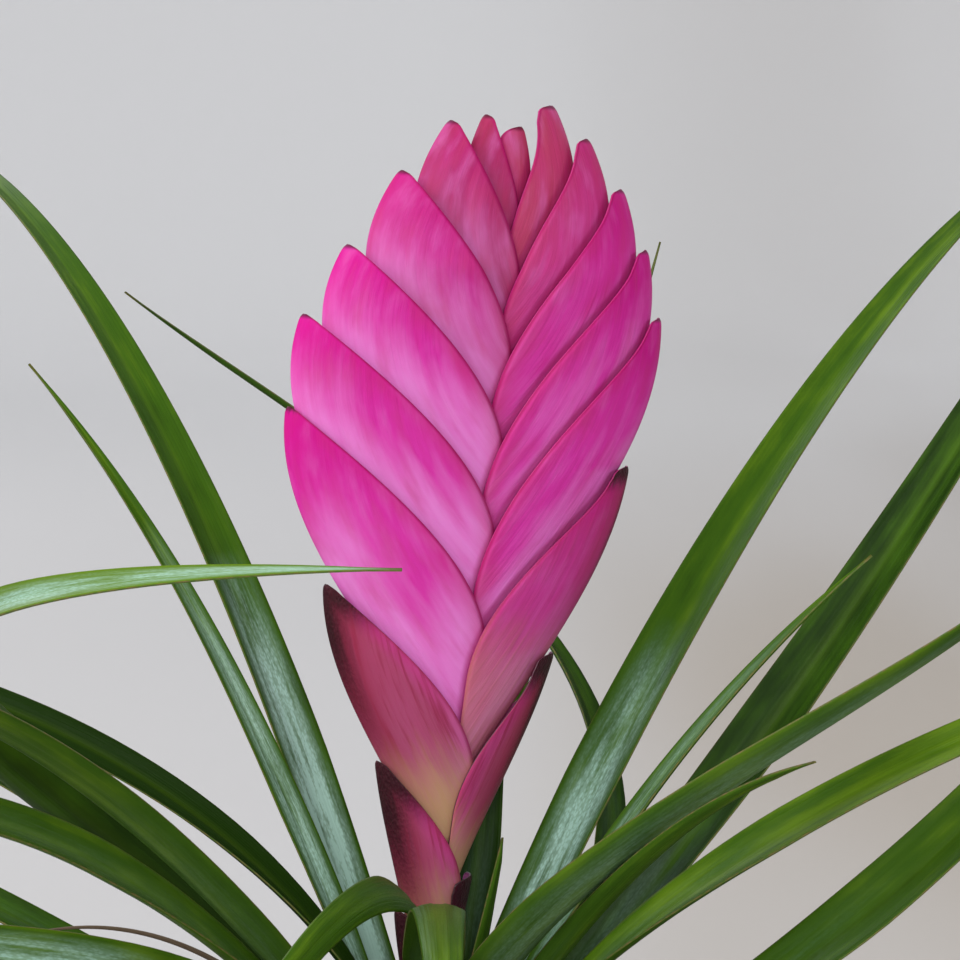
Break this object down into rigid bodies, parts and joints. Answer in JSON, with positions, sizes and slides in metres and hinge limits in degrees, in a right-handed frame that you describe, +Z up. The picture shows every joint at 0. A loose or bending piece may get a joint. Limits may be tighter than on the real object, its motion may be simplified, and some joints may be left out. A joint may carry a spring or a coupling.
{
  "type": "potted pink quill plant",
  "caption": "Potted pink quill plant: arching grass-like leaves round a flat paddle-shaped flower spike of overlapping pink bracts, in a plain clay pot.",
  "frame": {"origin": "centre of the pot's flat underside", "axes": "+Z up, +X to the right of the flower spike's front face, -Y to the front"},
  "size_m": [0.4238, 0.4482, 0.2874],
  "materials": {
    "clay": "matt unglazed terracotta",
    "bark_soil": "rough loose bark and peat",
    "crown_stem": "satin living stem",
    "scape_stem": "satin brown-orange flower stalk",
    "bract_scape": "satin dark red bract with a dry dark tip",
    "bract_pink": "satin magenta-pink bract with fine lengthwise veins",
    "leaf_green": "semi-gloss green blade with fine parallel veins"
  },
  "bodies": {
    "root": {"pot": "clay", "soil": "bark_soil", "crown": "crown_stem", "scape": "scape_stem", "bract_left_1": "bract_scape", "bract_right_1": "bract_scape", "bract_left_2": "bract_scape", "bract_right_2": "bract_pink", "bract_left_3": "bract_pink", "bract_right_3": "bract_pink", "bract_left_4": "bract_pink", "bract_right_4": "bract_pink", "bract_left_5": "bract_pink", "bract_right_5": "bract_pink", "bract_left_6": "bract_pink", "bract_right_6": "bract_pink", "bract_left_7": "bract_pink", "bract_right_7": "bract_pink", "bract_left_8": "bract_pink", "bract_right_8": "bract_pink", "bract_left_9": "bract_pink", "bract_right_9": "bract_pink", "leaf_left_tall": "leaf_green", "leaf_left_slim": "leaf_green", "leaf_left_dark": "leaf_green", "leaf_left_folded": "leaf_green", "leaf_left_under": "leaf_green", "leaf_left_low": "leaf_green", "leaf_left_lowest": "leaf_green", "leaf_left_near": "leaf_green", "leaf_front_curled": "leaf_green", "leaf_front_arched": "leaf_green", "leaf_front_hooked": "leaf_green", "leaf_front_small": "leaf_green", "leaf_front_low": "leaf_green", "leaf_scape_back": "leaf_green", "leaf_right_tall": "leaf_green", "leaf_right_broad": "leaf_green", "leaf_right_slim": "leaf_green", "leaf_right_edge": "leaf_green", "leaf_right_short": "leaf_green", "leaf_right_long": "leaf_green", "leaf_right_low": "leaf_green", "leaf_right_under": "leaf_green", "leaf_front_right": "leaf_green", "leaf_back_swept": "leaf_green", "leaf_back_upright": "leaf_green", "leaf_back_middle": "leaf_green", "leaf_back_low": "leaf_green", "leaf_back_side": "leaf_green"}
  },
  "joints": []
}
